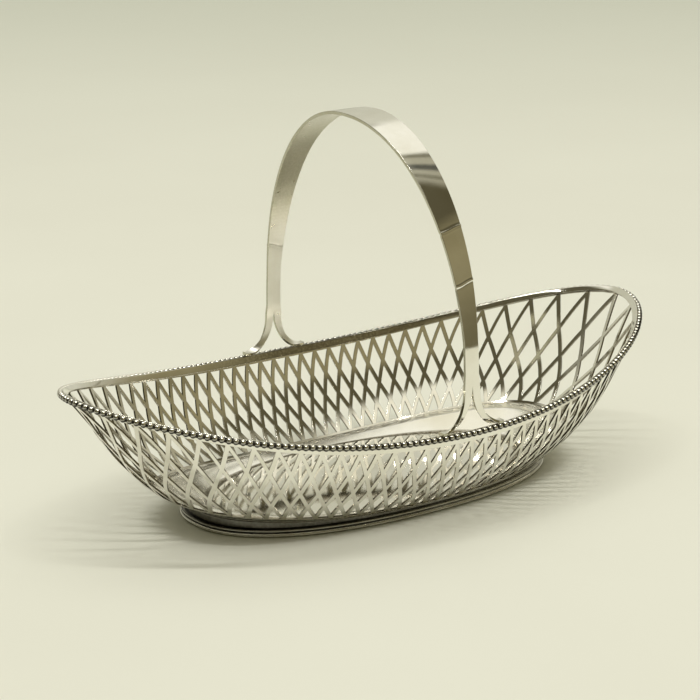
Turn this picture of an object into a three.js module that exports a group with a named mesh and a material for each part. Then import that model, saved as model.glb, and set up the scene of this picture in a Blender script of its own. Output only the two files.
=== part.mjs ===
// Silver bread basket: a boat-shaped pierced side on a low oval foot, a beaded rim
// and a strap handle that stands over the middle on two forked ends.
// Millimetres, +Z up. The origin is the middle of the underside of the foot, +X runs
// to one tip of the basket and -Y is the near side.

import * as THREE from 'three';
import { mergeVertices } from 'three/addons/utils/BufferGeometryUtils.js';

// Clear space between pieces that are soldered together
const GAP = 0.3;

// The rim, measured on the centre line of its beads
const RIM = {
  halfLength: 165,
  halfWidth: 83.9,
  exponent: 1.87,
  middleHeight: 48.5,
  tipHeight: 73.6,
  rise: 2.17,
};

// The lower edge of the pierced side, which climbs towards both tips
const SKIRT = {
  halfLength: 118.2,
  halfWidth: 55.7,
  exponent: 2.33,
  middleHeight: 7.6,
  tipHeight: 17.7,
  rise: 2.1,
};

// How far the side swells beyond a straight slope: first at half height, then low down
const SWELL_ACROSS = [0.64, 0.04];
const SWELL_ALONG = [0.13, 0.31];

// The sheet that the side and the floor are raised from
const SHEET = 1.0;

// The lattice: columns round the basket, and the height share of each row of crossings
const COLUMNS = 72;
const COLUMNS_PER_QUARTER = COLUMNS / 4;
const BAR_WIDTH = 2.0;
const TOP_ROW_MIDDLE = 0.9;
const TOP_ROW_TIP = 0.964;
const CROSSING_ROWS = [0.628, 0.386, 0.193];
// Share of an even pitch that the columns have at the middle of a side, top and bottom row
const MIDDLE_PITCH_TOP = 0.77;
const MIDDLE_PITCH_BOTTOM = 0.9;
const EVEN_PITCH = 1;
// Plain strip below the lattice that closes the bars' lower ends
const LOWER_STRIP = 1.3;

// The beads round the rim
const BEAD_RADIUS = 1.6;
const BEAD_NECK = 0.95;
const BEADS_PER_HALF = 125;
const BEAD_SIDES = 4;

// The plain wire inside the rim, placed from the bead's centre down and in from the wall
const RIM_WIRE_RADIUS = 0.8;
const RIM_WIRE_DOWN = 1.6;
const RIM_WIRE_IN = 2.3;
const RIM_WIRE_SIDES = 6;

// The floor: a flat oval well and a hollow border that climbs from its crease to the side
const WELL = { halfLength: 88, halfWidth: 46, exponent: 2 };
const WELL_UNDERSIDE = 4.6;
const BORDER_HOLLOW = 1.2;
// Shares of the border's width at which its rings lie
const BORDER_RINGS = [0.35, 0.7];

// The foot: an upright band under the border, with a moulded wire round its outside
const FOOT = { halfLength: 101.9, halfWidth: 53.1, exponent: 2.27 };
const FOOT_BAND_OUTER = -2.5;
const FOOT_BAND_INNER = -3.7;
const FOOT_STEPS = 72;
// The moulded wire's section: out from the foot's outline, and up
const FOOT_WIRE_SECTION = [
  [-2.2, 3.9],
  [-1.0, 3.9],
  [-0.5, 3.4],
  [-0.5, 2.8],
  [-1.1, 2.3],
  [0, 1.6],
  [0, 0.6],
  [-0.7, 0],
  [-2.2, 0],
];

// The handle strap: its outer face is half of a tall superellipse
const HANDLE = { halfSpan: 82.8, spring: 75, rise: 112, exponent: 2.08 };
// The old strap stands a little back of upright: its crown is this far to the far side
const HANDLE_LEAN = 5.7;
const HANDLE_LEAN_FOOT = 50;
const HANDLE_LEAN_POWER = 2.8;
const STRAP_THICKNESS = 1.6;
const STRAP_STEPS = 44;
const STRAP_CROWN_WIDTH = 19.8;
const STRAP_LEG_WIDTH = 7.9;
const STRAP_TAPER_LENGTH = 138;
// The fork: each leg splits into two prongs that curve out and lie on the rim
const FORK_HEIGHT = 70;
const FORK_WIDTH = 9.0;
const PRONG_REACH = 14;
const PRONG_WIDTH = 3.0;
const PRONG_STEPS = 9;
const TOE_LENGTH = 1.5;
const TOE_WIDTH = 3.6;
const TOE_THICKNESS = 1.4;
const TOE_CLEARANCE = 0.45;
const TOE_UNDERSIDE = RIM.middleHeight + BEAD_RADIUS + TOE_CLEARANCE;

// A prong narrows over this share of its length and then widens towards the toe
const PRONG_NARROWING = 0.5;
// The prong turns flat late: the power of its share of the way at which it twists
const PRONG_TWIST_POWER = 2;

// How late along a side the closer columns of its middle open out, and the top row drifts up
const PITCH_POWER = 4;
const TOP_ROW_POWER = 2;

// Samples along a quarter outline when its length is measured
const LENGTH_SAMPLES = 240;
const BEAD_LINE_DIVISIONS = LENGTH_SAMPLES * 8;
// Digits of a height share by which its outline is remembered
const SHARE_DIGITS = 6;
// Step for slopes found by differences, in columns and in height share
const SLOPE_STEP = 0.01;
// Points closer than this are one point
const SAME_POINT = 0.00001;

const SILVER = { color: 0xd9d6cc, roughness: 0.16, metalness: 1 };
const SHADED_SILVER = { color: 0xb9b5a6, roughness: 0.22, metalness: 1 };

const mix = (from, to, share) => from + (to - from) * share;

// A point of a quarter superellipse: angle 0 is the middle of a side, a right angle the tip.
function ovalPoint(oval, angle, offset = 0) {
  const across = Math.max(Math.cos(angle), 0) ** (2 / oval.exponent);
  const along = Math.max(Math.sin(angle), 0) ** (2 / oval.exponent);
  return [(oval.halfLength + offset) * along, (oval.halfWidth + offset) * across];
}

// The outline of the side at a height share: 0 is the skirt, 1 the beads' centre line.
function sideOutline(share) {
  const swell = ([first, second]) => {
    const bow = share * (1 - share);
    return share + first * bow + second * bow * (1 - 2 * share);
  };
  return {
    halfLength: mix(SKIRT.halfLength, RIM.halfLength, swell(SWELL_ALONG)),
    halfWidth: mix(SKIRT.halfWidth, RIM.halfWidth, swell(SWELL_ACROSS)),
    exponent: mix(SKIRT.exponent, RIM.exponent, share),
    middleHeight: mix(SKIRT.middleHeight, RIM.middleHeight, share),
    tipHeight: mix(SKIRT.tipHeight, RIM.tipHeight, share),
    rise: mix(SKIRT.rise, RIM.rise, share),
  };
}

// One quarter of an outline as points with the length run so far, kept for reuse.
const quarterCache = new Map();

function quarterOutline(share) {
  const key = share.toFixed(SHARE_DIGITS);
  if (quarterCache.has(key)) return quarterCache.get(key);
  const outline = sideOutline(share);
  const points = [];
  const runs = [0];
  for (let i = 0; i <= LENGTH_SAMPLES; i += 1) {
    const [x, y] = ovalPoint(outline, (i / LENGTH_SAMPLES) * (Math.PI / 2));
    const climb = (x / outline.halfLength) ** outline.rise;
    points.push(new THREE.Vector3(x, y, mix(outline.middleHeight, outline.tipHeight, climb)));
    if (i > 0) runs.push(runs[i - 1] + points[i].distanceTo(points[i - 1]));
  }
  quarterCache.set(key, { points, runs });
  return quarterCache.get(key);
}

// The point of a quarter outline at a share of its length from the middle of the side.
function quarterPoint(heightShare, lengthShare) {
  const { points, runs } = quarterOutline(heightShare);
  const run = lengthShare * runs[LENGTH_SAMPLES];
  let i = 1;
  while (i < LENGTH_SAMPLES && runs[i] < run) i += 1;
  return points[i - 1].clone().lerp(points[i], (run - runs[i - 1]) / (runs[i] - runs[i - 1]));
}

// Mirrors a point of the near quarter with x above 0 into the quarter of a column.
function placeInQuarter(point, column) {
  const turn = ((column % COLUMNS) + COLUMNS) % COLUMNS;
  const x = turn <= COLUMNS / 2 ? point.x : -point.x;
  const y = turn <= COLUMNS / 4 || turn >= (3 * COLUMNS) / 4 ? -point.y : point.y;
  return new THREE.Vector3(x, y, point.z);
}

// How many columns a place is from the nearer side middle, as a share of a quarter.
function shareOfQuarter(column) {
  const halfTurn = COLUMNS / 2;
  const turn = ((column % halfTurn) + halfTurn) % halfTurn;
  return Math.min(turn, halfTurn - turn) / COLUMNS_PER_QUARTER;
}

// A point of the side's outer face. Columns are closer together at the middle of a side:
// middlePitch is their pitch there as a share of an even one.
function sidePoint(column, heightShare, middlePitch = MIDDLE_PITCH_TOP) {
  const t = shareOfQuarter(column);
  const lengthShare = middlePitch * t + (1 - middlePitch) * t ** PITCH_POWER;
  return placeInQuarter(quarterPoint(heightShare, lengthShare), column);
}

// The directions of the side at a point: up along the side, and square to it inwards.
function sideDirections(column, heightShare, middlePitch) {
  const here = (dc, dh) => sidePoint(column + dc, heightShare + dh, middlePitch);
  const round = here(SLOPE_STEP, 0).sub(here(-SLOPE_STEP, 0));
  const climb = here(0, SLOPE_STEP).sub(here(0, -SLOPE_STEP));
  const inward = new THREE.Vector3().crossVectors(climb, round).normalize();
  const up = climb.clone().divideScalar(2 * SLOPE_STEP);
  return { up: up.clone().normalize(), lengthPerShare: up.length(), inward };
}

// The height share a few millimetres further up the side, or down for a negative length.
function shareAlong(column, heightShare, millimetres, middlePitch = MIDDLE_PITCH_TOP) {
  return heightShare + millimetres / sideDirections(column, heightShare, middlePitch).lengthPerShare;
}

// The height share of a lattice row, which may lie between two rows of crossings.
function rowShare(column, row) {
  const toTip = shareOfQuarter(column) ** TOP_ROW_POWER;
  const rows = [mix(TOP_ROW_MIDDLE, TOP_ROW_TIP, toTip), ...CROSSING_ROWS, 0];
  const below = Math.min(Math.floor(row), rows.length - 2);
  return mix(rows[below], rows[below + 1], row - below);
}

const ROWS = CROSSING_ROWS.length + 1;

function latticePitch(row) {
  return mix(MIDDLE_PITCH_TOP, MIDDLE_PITCH_BOTTOM, row / ROWS);
}

function latticePoint(column, row) {
  return sidePoint(column, rowShare(column, row), latticePitch(row));
}

// What is left of a lattice opening, as a share of its full diamond, once half a bar's
// width is taken off every edge.
function openShare(column, row) {
  const top = Math.max(row - 1, 0);
  const bottom = Math.min(row + 1, ROWS);
  const width = latticePoint(column + 0.5, row).distanceTo(latticePoint(column - 0.5, row));
  const height = latticePoint(column, top).distanceTo(latticePoint(column, bottom));
  const halfWidth = width / 2;
  const rowHeight = height / (bottom - top);
  return 1 - ((BAR_WIDTH / 2) * Math.hypot(halfWidth, rowHeight)) / (halfWidth * rowHeight);
}

// A mesh under construction: points by place, and triangles by their corners.
function newSolid() {
  return { positions: [], triangles: [] };
}

function addPoint(solid, point) {
  solid.positions.push(point.x, point.y, point.z);
  return solid.positions.length / 3 - 1;
}

function addQuad(solid, a, b, c, d) {
  solid.triangles.push(a, b, c, a, c, d);
}

function meshOf(solid, name, looks) {
  const geometry = new THREE.BufferGeometry();
  geometry.setAttribute('position', new THREE.Float32BufferAttribute(solid.positions, 3));
  geometry.setIndex(solid.triangles);
  const merged = mergeVertices(geometry, SAME_POINT);
  merged.computeVertexNormals();
  const mesh = new THREE.Mesh(merged, new THREE.MeshStandardMaterial(looks));
  mesh.name = name;
  return mesh;
}

// Joins rings of points into a skin. Ring after ring must turn the same way, and a ring of
// one point closes the skin.
function addSkin(solid, rings, closed = true) {
  const indexed = rings.map((ring) => ring.map((point) => addPoint(solid, point)));
  const ringPairs = closed ? indexed.length : indexed.length - 1;
  for (let r = 0; r < ringPairs; r += 1) {
    const lower = indexed[r];
    const upper = indexed[(r + 1) % indexed.length];
    const count = Math.max(lower.length, upper.length);
    for (let i = 0; i < count; i += 1) {
      const next = (i + 1) % count;
      if (upper.length === 1) solid.triangles.push(lower[i], lower[next], upper[0]);
      else if (lower.length === 1) solid.triangles.push(lower[0], upper[next], upper[i]);
      else addQuad(solid, lower[i], lower[next], upper[next], upper[i]);
    }
  }
  return indexed;
}

// The pierced side. A point of it has an outer and an inner copy, one sheet apart. Every
// crossing is a small square of four corners, and every bar joins two crossings.
function piercedSide() {
  const solid = newSolid();
  const known = new Map();

  const pointPair = (column, heightShare, middlePitch) => {
    const outer = sidePoint(column, heightShare, middlePitch);
    const { inward } = sideDirections(column, heightShare, middlePitch);
    return [addPoint(solid, outer), addPoint(solid, outer.clone().addScaledVector(inward, SHEET))];
  };

  // A corner of the opening round (column, row), shifted by shares of its half diagonals
  const corner = (column, row, toSide, toRow) => {
    const centre = (column + COLUMNS) % COLUMNS;
    const key = `${centre},${row},${toSide},${toRow}`;
    if (!known.has(key)) {
      const open = openShare(centre, row);
      const shiftedRow = row + toRow * open;
      const shiftedColumn = centre + (toSide * open) / 2;
      const share = rowShare(shiftedColumn, shiftedRow);
      known.set(key, pointPair(shiftedColumn, share, latticePitch(shiftedRow)));
    }
    return known.get(key);
  };

  // A patch of the sheet: its outer face and its inner face, corners given as pairs
  const patch = (...pairs) => {
    for (let i = 1; i < pairs.length - 1; i += 1) {
      solid.triangles.push(pairs[0][0], pairs[i][0], pairs[i + 1][0]);
      solid.triangles.push(pairs[0][1], pairs[i + 1][1], pairs[i][1]);
    }
  };

  // The cut edge of the sheet between two pairs
  const edge = (from, to) => addQuad(solid, from[0], to[0], to[1], from[1]);

  const edgeLoop = (pairs) => {
    pairs.forEach((pair, i) => edge(pair, pairs[(i + 1) % pairs.length]));
  };

  const borderPair = (column, row, millimetres) => {
    const share = row === 0 ? 1 : 0;
    const pitch = latticePitch(row);
    return pointPair(column, shareAlong(column, share, millimetres, pitch), pitch);
  };

  const topBorder = [];
  const bottomBorder = [];
  const topClearance = -(BEAD_RADIUS + GAP);

  for (let column = 0; column < COLUMNS; column += 1) {
    const half = column + 0.5;

    // Openings: a triangle, three diamonds and a triangle, from the top down
    edgeLoop([corner(half, 0, -1, 0), corner(half, 0, 0, 1), corner(half, 0, 1, 0)]);
    for (let row = 1; row < ROWS; row += 1) {
      const centre = row % 2 === 1 ? column : half;
      const left = corner(centre, row, -1, 0);
      const below = corner(centre, row, 0, 1);
      const right = corner(centre, row, 1, 0);
      const above = corner(centre, row, 0, -1);
      edgeLoop([left, below, right, above]);
    }
    edgeLoop([corner(half, ROWS, -1, 0), corner(half, ROWS, 1, 0), corner(half, ROWS, 0, -1)]);

    // Crossings inside the lattice
    for (let row = 1; row < ROWS; row += 1) {
      const centre = row % 2 === 1 ? half : column;
      patch(
        corner(centre - 0.5, row, 1, 0),
        corner(centre, row + 1, 0, -1),
        corner(centre + 0.5, row, -1, 0),
        corner(centre, row - 1, 0, 1),
      );
    }

    // Bars from each crossing down to the left and down to the right
    for (let row = 0; row < ROWS; row += 1) {
      const centre = row % 2 === 0 ? column : half;
      patch(
        corner(centre, row + 1, 0, -1),
        corner(centre - 0.5, row, 1, 0),
        corner(centre - 0.5, row, 0, 1),
        corner(centre, row + 1, -1, 0),
      );
      patch(
        corner(centre, row + 1, 0, -1),
        corner(centre, row + 1, 1, 0),
        corner(centre + 0.5, row, 0, 1),
        corner(centre + 0.5, row, -1, 0),
      );
    }

    // The bars' feet at the plain band above and at the strip below
    patch(corner(column, 1, 0, -1), corner(column + 0.5, 0, -1, 0), corner(column - 0.5, 0, 1, 0));
    patch(
      corner(column, ROWS - 1, 0, 1),
      corner(column - 0.5, ROWS, 1, 0),
      corner(column + 0.5, ROWS, -1, 0),
    );

    for (const toSide of [-1, 1]) {
      const openTop = (toSide * openShare(half, 0)) / 2;
      const openBottom = (toSide * openShare(half, ROWS)) / 2;
      topBorder.push(borderPair(half + openTop, 0, topClearance));
      bottomBorder.push(borderPair(half + openBottom, ROWS, -LOWER_STRIP));
    }
  }

  // The plain band and the strip, between the lattice and the two borders
  for (let i = 0; i < topBorder.length; i += 1) {
    const next = (i + 1) % topBorder.length;
    const place = (step, row) => corner(Math.floor(step / 2) + 0.5, row, step % 2 === 0 ? -1 : 1, 0);
    patch(place(i, 0), place(next, 0), topBorder[next], topBorder[i]);
    patch(bottomBorder[i], bottomBorder[next], place(next, ROWS), place(i, ROWS));
    edge(topBorder[i], topBorder[next]);
    edge(bottomBorder[next], bottomBorder[i]);
  }
  return meshOf(solid, 'pierced_side', SILVER);
}

// A ring round the basket at even columns, built by a function of the column.
function ringOf(place, steps = COLUMNS) {
  return Array.from({ length: steps }, (_, i) => place((i * COLUMNS) / steps));
}

// A closed wire round the basket: a section swept round, given by a function of the column.
function closedWire(name, sectionAt, steps, looks) {
  const solid = newSolid();
  addSkin(solid, ringOf(sectionAt, steps));
  return meshOf(solid, name, looks);
}

// The floor pan's edge just below the side: its underside, or its upper face one sheet in.
function panEdge(column, inset = 0) {
  const share = shareAlong(column, 0, -(LOWER_STRIP + GAP), MIDDLE_PITCH_BOTTOM);
  const point = sidePoint(column, share, MIDDLE_PITCH_BOTTOM);
  return point.addScaledVector(sideDirections(column, share, MIDDLE_PITCH_BOTTOM).inward, inset);
}

// The point of an oval on the level line from the middle of the floor towards a point.
function ovalTowards(oval, point, height, offset = 0) {
  const along = Math.abs(point.x) / (oval.halfLength + offset);
  const across = Math.abs(point.y) / (oval.halfWidth + offset);
  const reach = (along ** oval.exponent + across ** oval.exponent) ** (1 / oval.exponent);
  return new THREE.Vector3(point.x / reach, point.y / reach, height);
}

// A point of the hollow border at a share of the way from the well's crease to the edge.
function borderPoint(edge, creaseHeight, share) {
  const crease = ovalTowards(WELL, edge, creaseHeight);
  return crease.lerp(edge, share).setZ(mix(creaseHeight, edge.z, share ** BORDER_HOLLOW));
}

// The floor pan: rings from the middle of the underside out, over the edge and back.
function floorPan() {
  const wellTop = WELL_UNDERSIDE + SHEET;
  const border = (inset, creaseHeight, share) =>
    ringOf((column) => borderPoint(panEdge(column, inset), creaseHeight, share));
  const rings = [
    [new THREE.Vector3(0, 0, WELL_UNDERSIDE)],
    ...[0, ...BORDER_RINGS, 1].map((share) => border(0, WELL_UNDERSIDE, share)),
    ...[1, ...BORDER_RINGS.toReversed(), 0].map((share) => border(SHEET, wellTop, share)),
    [new THREE.Vector3(0, 0, wellTop)],
  ];
  const solid = newSolid();
  addSkin(solid, rings, false);
  return meshOf(solid, 'floor_pan', SILVER);
}

// The plain wire inside the rim, in the corner between the wall and the beads.
function rimWire() {
  const sectionAt = (column) => {
    const { up, inward } = sideDirections(column, 1 - SLOPE_STEP, MIDDLE_PITCH_TOP);
    const centre = sidePoint(column, 1);
    centre.addScaledVector(up, -RIM_WIRE_DOWN).addScaledVector(inward, RIM_WIRE_IN);
    return Array.from({ length: RIM_WIRE_SIDES }, (_, i) => {
      const angle = (i / RIM_WIRE_SIDES) * 2 * Math.PI;
      const point = centre.clone().addScaledVector(up, RIM_WIRE_RADIUS * Math.sin(angle));
      return point.addScaledVector(inward, RIM_WIRE_RADIUS * Math.cos(angle));
    });
  };
  return closedWire('rim_wire', sectionAt, COLUMNS, SILVER);
}

// Points at even steps along the bead line of one long side, with a direction at each.
function beadLine(side, steps) {
  const samples = [];
  for (let i = 0; i <= LENGTH_SAMPLES; i += 1) {
    const column = (side === 'near' ? -1 : 1) * COLUMNS_PER_QUARTER + (i * COLUMNS) / 2 / LENGTH_SAMPLES;
    samples.push(sidePoint(column, 1, EVEN_PITCH));
  }
  const curve = new THREE.CatmullRomCurve3(samples);
  curve.arcLengthDivisions = BEAD_LINE_DIVISIONS;
  const length = curve.getLength();
  const trim = GAP / 2 / length;
  return Array.from({ length: steps + 1 }, (_, i) => {
    const share = mix(trim, 1 - trim, i / steps);
    return { point: curve.getPointAt(share), along: curve.getTangentAt(share) };
  });
}

// One length of beaded wire, from tip to tip: a thin neck after every full bead.
function beadWire(side) {
  const stations = beadLine(side, BEADS_PER_HALF * 2);
  const sections = stations.map(({ point, along }, i) => {
    const radius = i % 2 === 0 ? BEAD_NECK : BEAD_RADIUS;
    const inward = new THREE.Vector3(-along.y, along.x, 0).normalize();
    const up = new THREE.Vector3().crossVectors(along, inward).normalize();
    return Array.from({ length: BEAD_SIDES }, (_, k) => {
      const angle = (k / BEAD_SIDES) * 2 * Math.PI;
      const skin = point.clone().addScaledVector(inward, radius * Math.cos(angle));
      return skin.addScaledVector(up, radius * Math.sin(angle));
    });
  });
  const solid = newSolid();
  const rings = [[stations[0].point], ...sections, [stations[stations.length - 1].point]];
  addSkin(solid, rings, false);
  return meshOf(solid, `bead_wire_${side}`, SILVER);
}

// A ring of the foot: a section swept round its outline. A section is a list of distances
// out from the outline, each with a height or with a function of the place that gives it.
function footRing(name, section, looks) {
  const sectionAt = (column) => {
    const edge = panEdge(column);
    return section.map(([out, height]) => {
      const point = ovalTowards(FOOT, edge, 0, out);
      return point.setZ(typeof height === 'function' ? height(edge, point) : height);
    });
  };
  return closedWire(name, sectionAt, FOOT_STEPS, looks);
}

// The height of the foot band under the border: level along the sides, higher at the tips.
function bandTop(edge, point) {
  const crease = ovalTowards(WELL, edge, 0).length();
  const outward = Math.hypot(edge.x, edge.y) - crease;
  const share = (Math.hypot(point.x, point.y) - crease) / outward;
  return borderPoint(edge, WELL_UNDERSIDE, share).z - GAP;
}

function footBand() {
  const section = [
    [FOOT_BAND_INNER, bandTop],
    [FOOT_BAND_OUTER, bandTop],
    [FOOT_BAND_OUTER, 0],
    [FOOT_BAND_INNER, 0],
  ];
  return footRing('foot_band', section, SHADED_SILVER);
}

function footWire() {
  return footRing('foot_wire', FOOT_WIRE_SECTION, SILVER);
}

// How far the strap is off upright at a height.
function handleLean(height) {
  const crown = HANDLE.spring + HANDLE.rise;
  const climb = Math.max(height - HANDLE_LEAN_FOOT, 0) / (crown - HANDLE_LEAN_FOOT);
  return HANDLE_LEAN * climb ** HANDLE_LEAN_POWER;
}

// The strap's outer face over the basket from the near spring to the far one.
function handleArch() {
  const points = [];
  for (let i = 0; i <= LENGTH_SAMPLES; i += 1) {
    const angle = (i / LENGTH_SAMPLES) * Math.PI;
    const power = 2 / HANDLE.exponent;
    const y = -Math.sign(Math.cos(angle)) * HANDLE.halfSpan * Math.abs(Math.cos(angle)) ** power;
    const z = HANDLE.spring + HANDLE.rise * Math.max(Math.sin(angle), 0) ** power;
    points.push(new THREE.Vector3(0, y + handleLean(z), z));
  }
  return new THREE.CatmullRomCurve3(points);
}

function strapWidth(distanceFromCrown) {
  const left = Math.max(1 - distanceFromCrown / STRAP_TAPER_LENGTH, 0);
  return mix(STRAP_LEG_WIDTH, STRAP_CROWN_WIDTH, left);
}

// A strap section as its left, middle and right lines, each an outer and an inner point.
function strapSection(centre, outward, width) {
  const line = (x) => {
    const outer = centre.clone().setX(x);
    const inner = outer.clone().addScaledVector(outward, -STRAP_THICKNESS);
    return [outer, inner];
  };
  return [line(-width / 2), line(0), line(width / 2)];
}

// One prong of a fork on the near side, as sections from the split down to the toe. A
// section is four corners: outer and inner at the split side, inner and outer beyond.
function prongSections(reach) {
  const depth = FORK_HEIGHT - TOE_UNDERSIDE - TOE_THICKNESS / 2;
  const start = FORK_WIDTH / 4;
  const faceY = -HANDLE.halfSpan + STRAP_THICKNESS / 2;
  const sections = [];
  for (let i = 1; i <= PRONG_STEPS + 1; i += 1) {
    const bend = Math.min(i / PRONG_STEPS, 1) * (Math.PI / 2);
    const toe = i > PRONG_STEPS;
    const x = start + PRONG_REACH * (1 - Math.cos(bend)) + (toe ? TOE_LENGTH : 0);
    const z = FORK_HEIGHT - depth * Math.sin(bend);
    const run = new THREE.Vector2(PRONG_REACH * Math.sin(bend), -depth * Math.cos(bend)).normalize();
    const share = Math.min(i / PRONG_STEPS, 1);
    const narrowed = Math.min(share / PRONG_NARROWING, 1);
    const widened = Math.max(share - PRONG_NARROWING, 0) / (1 - PRONG_NARROWING);
    const width = mix(mix(FORK_WIDTH / 2, PRONG_WIDTH, narrowed), TOE_WIDTH, widened);
    const thickness = mix(STRAP_THICKNESS, TOE_THICKNESS, share);
    // The prong's flat turns from facing out at the split to facing up at the toe
    const twist = share ** PRONG_TWIST_POWER * (Math.PI / 2);
    const square = new THREE.Vector3(-run.y, 0, run.x);
    const outward = new THREE.Vector3(0, -1, 0);
    const across = square.clone().multiplyScalar(Math.cos(twist)).addScaledVector(outward, Math.sin(twist));
    const face = outward.clone().multiplyScalar(Math.cos(twist)).addScaledVector(square, -Math.sin(twist));
    const centre = new THREE.Vector3(x, faceY, z);
    const at = (side, level) => centre.clone()
      .addScaledVector(across, (side * width) / 2)
      .addScaledVector(face, (level * thickness) / 2);
    sections.push([at(-1, 1), at(-1, -1), at(1, -1), at(1, 1)]);
  }
  return sections.map((section) => section.map((point) => point.setX(point.x * reach)));
}

// The handle strap with its four prongs, as one piece.
function handleStrap() {
  const arch = handleArch();
  const half = arch.getLength() / 2;
  const sections = [];
  const addLegEnd = (side) => {
    const face = side * HANDLE.halfSpan + handleLean(FORK_HEIGHT);
    const outward = new THREE.Vector3(0, side, 0);
    sections.push(strapSection(new THREE.Vector3(0, face, FORK_HEIGHT), outward, FORK_WIDTH));
  };
  addLegEnd(-1);
  for (let i = 0; i <= STRAP_STEPS; i += 1) {
    const share = i / STRAP_STEPS;
    const along = arch.getTangentAt(share);
    if (i === 0 || i === STRAP_STEPS) along.set(0, 0, i === 0 ? 1 : -1);
    const outward = new THREE.Vector3(0, -along.z, along.y);
    const width = strapWidth(Math.abs(share - 0.5) * 2 * half);
    sections.push(strapSection(arch.getPointAt(share), outward, width));
  }
  addLegEnd(1);

  const solid = newSolid();
  const index = sections.map((section) => section.map((line) => line.map((p) => addPoint(solid, p))));
  for (let i = 0; i < index.length - 1; i += 1) {
    const [here, there] = [index[i], index[i + 1]];
    for (let k = 0; k < 2; k += 1) {
      addQuad(solid, here[k][0], here[k + 1][0], there[k + 1][0], there[k][0]);
      addQuad(solid, here[k + 1][1], here[k][1], there[k][1], there[k + 1][1]);
    }
    addQuad(solid, here[0][1], here[0][0], there[0][0], there[0][1]);
    addQuad(solid, here[2][0], here[2][1], there[2][1], there[2][0]);
  }

  // Prongs: each goes on from one half of a leg's last section
  for (const side of [-1, 1]) {
    const legEnd = side === -1 ? index[0] : index[index.length - 1];
    for (const reach of [-1, 1]) {
      const beyond = reach === -1 ? legEnd[0] : legEnd[2];
      let above = [legEnd[1][0], legEnd[1][1], beyond[1], beyond[0]];
      const turned = side * reach === 1;
      for (const section of prongSections(reach)) {
        const placed = section.map((point) => point.setY(point.y * -side));
        const below = placed.map((point) => addPoint(solid, point));
        for (let k = 0; k < 4; k += 1) {
          const next = (k + 1) % 4;
          if (turned) addQuad(solid, above[k], below[k], below[next], above[next]);
          else addQuad(solid, above[next], below[next], below[k], above[k]);
        }
        above = below;
      }
      if (turned) addQuad(solid, above[3], above[2], above[1], above[0]);
      else addQuad(solid, above[0], above[1], above[2], above[3]);
    }
  }
  return meshOf(solid, 'handle_strap', SILVER);
}

const basket = new THREE.Group();
basket.add(piercedSide());
basket.add(floorPan());
basket.add(rimWire());
basket.add(beadWire('near'));
basket.add(beadWire('far'));
basket.add(footBand());
basket.add(footWire());
basket.add(handleStrap());

export default basket;
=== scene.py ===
import math

import bpy
import numpy as np
from mathutils import Matrix, Vector

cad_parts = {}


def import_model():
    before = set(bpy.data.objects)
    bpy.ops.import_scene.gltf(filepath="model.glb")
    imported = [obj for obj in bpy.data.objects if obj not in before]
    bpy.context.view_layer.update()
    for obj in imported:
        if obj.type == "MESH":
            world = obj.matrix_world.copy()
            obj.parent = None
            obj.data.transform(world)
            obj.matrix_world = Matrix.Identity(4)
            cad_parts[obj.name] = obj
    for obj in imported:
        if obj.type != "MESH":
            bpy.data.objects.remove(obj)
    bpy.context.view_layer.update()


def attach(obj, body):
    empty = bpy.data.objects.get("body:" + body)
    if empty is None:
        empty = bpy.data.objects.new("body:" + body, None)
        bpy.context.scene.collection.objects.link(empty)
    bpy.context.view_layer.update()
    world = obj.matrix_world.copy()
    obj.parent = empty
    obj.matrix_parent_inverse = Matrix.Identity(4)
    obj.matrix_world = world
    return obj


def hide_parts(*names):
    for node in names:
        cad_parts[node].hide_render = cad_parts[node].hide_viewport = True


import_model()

MM = 0.001
rng = np.random.default_rng(7)

# The basket's own shape
# The driving sizes are those of the solids, in millimetres. The side is drawn between the bead
# line at the rim, which has the height share 1, and the skirt line near the floor, at share 0.

RIM = dict(half_length=165, half_width=83.9, exponent=1.87, middle=48.5, tip=73.6, rise=2.17)
SKIRT = dict(half_length=118.2, half_width=55.7, exponent=2.33, middle=7.6, tip=17.7, rise=2.1)
SWELL_ACROSS = (0.64, 0.04)
SWELL_ALONG = (0.13, 0.31)
SHEET = 1.0
# How far the sheet's edges are above the bead line and above the skirt line
TOP_BORDER, LOW_BORDER = -0.6, -1.6
COLUMNS = 72
BAR_WIDTH = 2.0
# The height shares where the lattice starts, amidships and at the tips, and where its bars cross
TOP_ROW_MIDDLE, TOP_ROW_TIP = 0.9, 0.964
CROSSING_ROWS = (0.628, 0.386, 0.193)
ROWS = len(CROSSING_ROWS) + 1
# The width of the columns amidships, of an even column; they widen towards the tips
PITCH_TOP, PITCH_BOTTOM, PITCH_POWER = 0.77, 0.9, 4
BEAD_RADIUS, BEAD_NECK, BEADS_PER_HALF = 1.6, 0.95, 125
WELL = dict(half_length=88, half_width=46, exponent=2)
WELL_UNDERSIDE = 4.6
BORDER_HOLLOW = 1.2
FOOT = dict(half_length=101.9, half_width=53.1, exponent=2.27)
# How finely the side is worked out
QUARTER = np.linspace(0, math.pi / 2, 481)
BATCH = 1500
NUDGE = 0.01


def mix(a, b, t):
    return a + (b - a) * t


def ramp_up(value, start, width):
    """0 up to start, then climbing to 1 over a width."""
    return np.clip((value - start) / width, 0, 1)


def swell(share, amounts):
    bow = share * (1 - share)
    return share + amounts[0] * bow + amounts[1] * bow * (1 - 2 * share)


def mirror(points, columns):
    """Points of one quarter, moved to the quarters that their columns are in."""
    turn = np.mod(columns, COLUMNS)
    points[:, 0] *= np.where(turn <= COLUMNS / 2, 1, -1)
    points[:, 1] *= np.where((turn <= COLUMNS / 4) | (turn >= 3 * COLUMNS / 4), -1, 1)
    return points


def share_of_quarter(columns):
    """0 in the middle of a long side and 1 at a tip."""
    turn = np.mod(columns, COLUMNS / 2)
    return np.minimum(turn, COLUMNS / 2 - turn) / (COLUMNS / 4)


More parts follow.
